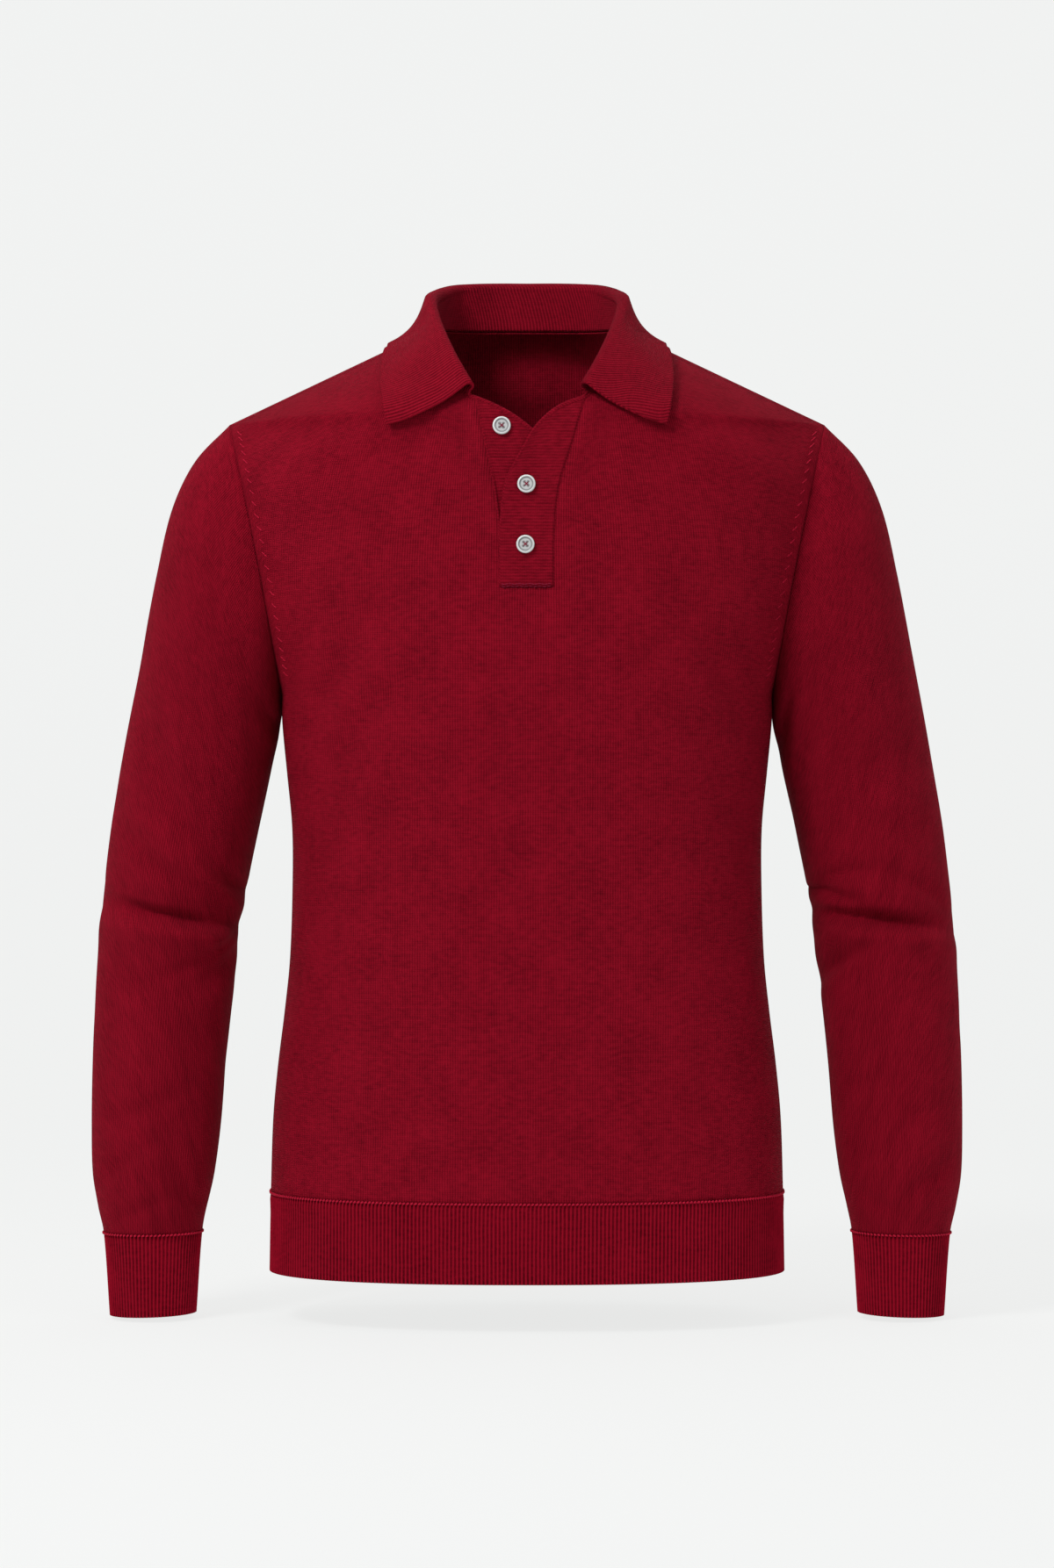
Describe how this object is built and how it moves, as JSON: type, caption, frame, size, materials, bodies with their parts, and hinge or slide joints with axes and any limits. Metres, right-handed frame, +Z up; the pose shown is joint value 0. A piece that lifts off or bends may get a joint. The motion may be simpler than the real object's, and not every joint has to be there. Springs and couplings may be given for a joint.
{
  "type": "long-sleeved knitted polo shirt",
  "caption": "Long-sleeved knitted polo shirt with a turned-down collar, buttoned placket, ribbed cuffs and ribbed hem, filled out as worn and hollow.",
  "frame": {"origin": "middle of the neck base, level with the two points where the shoulder seams meet the collar", "axes": "+Z up, -Y out of the front of the shirt, +X towards the wearer's left sleeve"},
  "size_m": [0.624, 0.2319, 0.749],
  "materials": {
    "jersey": "fine plain knit, matt",
    "rib_knit": "one by one rib knit, matt",
    "collar_knit": "fine rib knit, matt",
    "placket_knit": "fine knit with level ribs, matt",
    "tape": "knitted tape, matt",
    "button": "pale, satin, four holes"
  },
  "bodies": {
    "root": {"front_panel": "jersey", "back_panel": "jersey", "sleeve_left": "jersey", "sleeve_right": "jersey", "cuff_left": "rib_knit", "cuff_right": "rib_knit", "hem_rib": "rib_knit", "collar": "collar_knit", "neck_tape": "tape", "placket_over": "placket_knit", "placket_under": "placket_knit", "button_top": "button", "button_middle": "button", "button_bottom": "button"}
  },
  "joints": []
}
